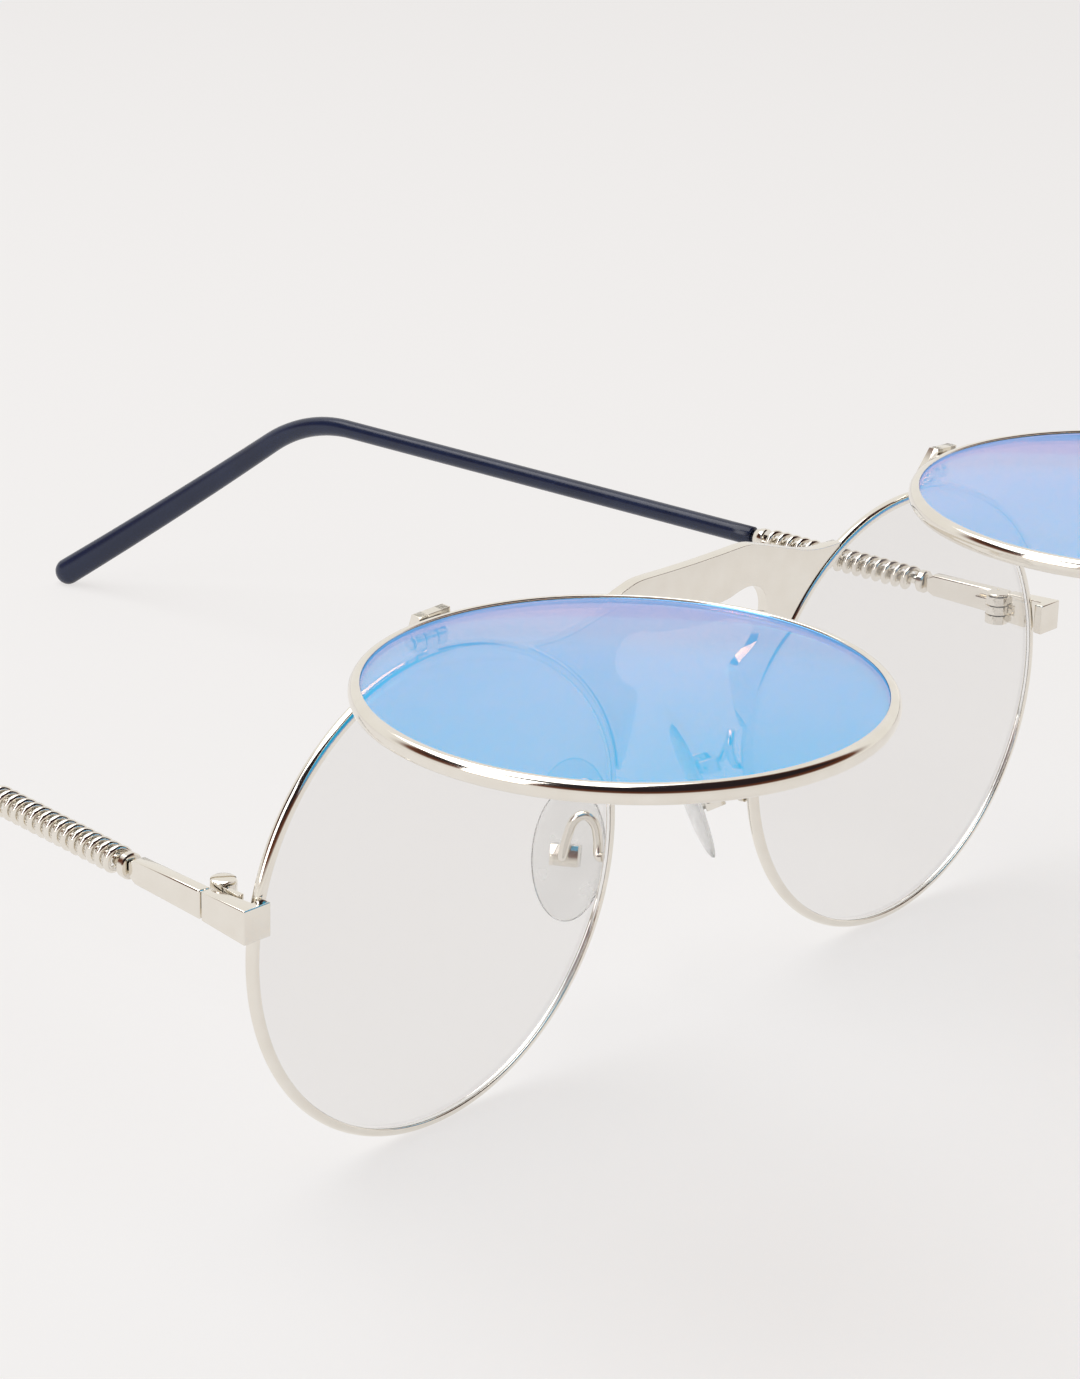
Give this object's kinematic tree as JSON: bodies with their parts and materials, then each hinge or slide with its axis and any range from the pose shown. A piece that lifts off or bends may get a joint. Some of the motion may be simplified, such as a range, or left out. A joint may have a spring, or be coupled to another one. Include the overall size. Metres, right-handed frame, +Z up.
{
  "type": "flip-up round spectacles",
  "caption": "Round metal spectacles with clear lenses, hinged blue sun lenses that flip up, folding spring-coil temples with dark sleeves and rocking nose pads.",
  "frame": {"origin": "middle of the base: under the centre of the bounding box, on the table that the rims and sleeve tips stand on", "axes": "+X across the front to the wearer's left, +Y from the front back along the temples, +Z up; the lenses face -Y"},
  "size_m": [0.1272, 0.2012, 0.0546],
  "materials": {
    "silver": "polished",
    "blue_lens": "mirror-coated, see-through",
    "clear_lens": "polished clear",
    "navy_sleeve": "satin gloss",
    "silicone": "soft clear"
  },
  "bodies": {
    "front_frame": {"bridge_plate": "silver", "left_rim": "silver", "left_clear_lens": "clear_lens", "left_end_piece": "silver", "left_hinge_front_leaf": "silver", "left_hinge_screw": "silver", "left_lens_hinge_base": "silver", "left_lens_hinge_pin": "silver", "left_pad_arm": "silver", "left_pad_box": "silver", "left_pad_screw": "silver", "right_rim": "silver", "right_clear_lens": "clear_lens", "right_end_piece": "silver", "right_hinge_front_leaf": "silver", "right_hinge_screw": "silver", "right_lens_hinge_base": "silver", "right_lens_hinge_pin": "silver", "right_pad_arm": "silver", "right_pad_box": "silver", "right_pad_screw": "silver"},
    "left_flip": {"left_sun_lens_leaf": "silver", "left_sun_rim": "silver", "left_sun_lens": "blue_lens"},
    "left_temple": {"left_hinge_temple_leaf": "silver", "left_temple_plate": "silver", "left_temple_core": "silver", "left_temple_coil": "silver", "left_temple_sleeve": "navy_sleeve"},
    "left_pad": {"left_nose_pad": "silicone"},
    "right_flip": {"right_sun_lens_leaf": "silver", "right_sun_rim": "silver", "right_sun_lens": "blue_lens"},
    "right_temple": {"right_hinge_temple_leaf": "silver", "right_temple_plate": "silver", "right_temple_core": "silver", "right_temple_coil": "silver", "right_temple_sleeve": "navy_sleeve"},
    "right_pad": {"right_nose_pad": "silicone"}
  },
  "joints": [
    {"name": "left_flip", "type": "hinge", "parent": "front_frame", "child": "left_flip", "pos_m": [-0.038, -0.05053, 0.05055], "axis": [0.9926, -0.0859, 0.0859], "range_deg": [0, 90.4]},
    {"name": "left_temple_fold", "type": "hinge", "parent": "front_frame", "child": "left_temple", "pos_m": [-0.0584, -0.04529, 0.02961], "axis": [0, 0, -1], "range_deg": [0, 87]},
    {"name": "left_pad_rock", "type": "hinge", "parent": "front_frame", "child": "left_pad", "pos_m": [-0.01096, -0.04369, 0.01941], "axis": [-0.53, 0.848, 0], "range_deg": [-8, 8]},
    {"name": "right_flip", "type": "hinge", "parent": "front_frame", "child": "right_flip", "pos_m": [0.038, -0.05053, 0.05055], "axis": [0.9926, 0.0859, -0.0859], "range_deg": [0, 90.4]},
    {"name": "right_temple_fold", "type": "hinge", "parent": "front_frame", "child": "right_temple", "pos_m": [0.0584, -0.04529, 0.02961], "axis": [0, 0, 1], "range_deg": [0, 80]},
    {"name": "right_pad_rock", "type": "hinge", "parent": "front_frame", "child": "right_pad", "pos_m": [0.01096, -0.04369, 0.01941], "axis": [-0.53, -0.848, 0], "range_deg": [-8, 8]}
  ]
}
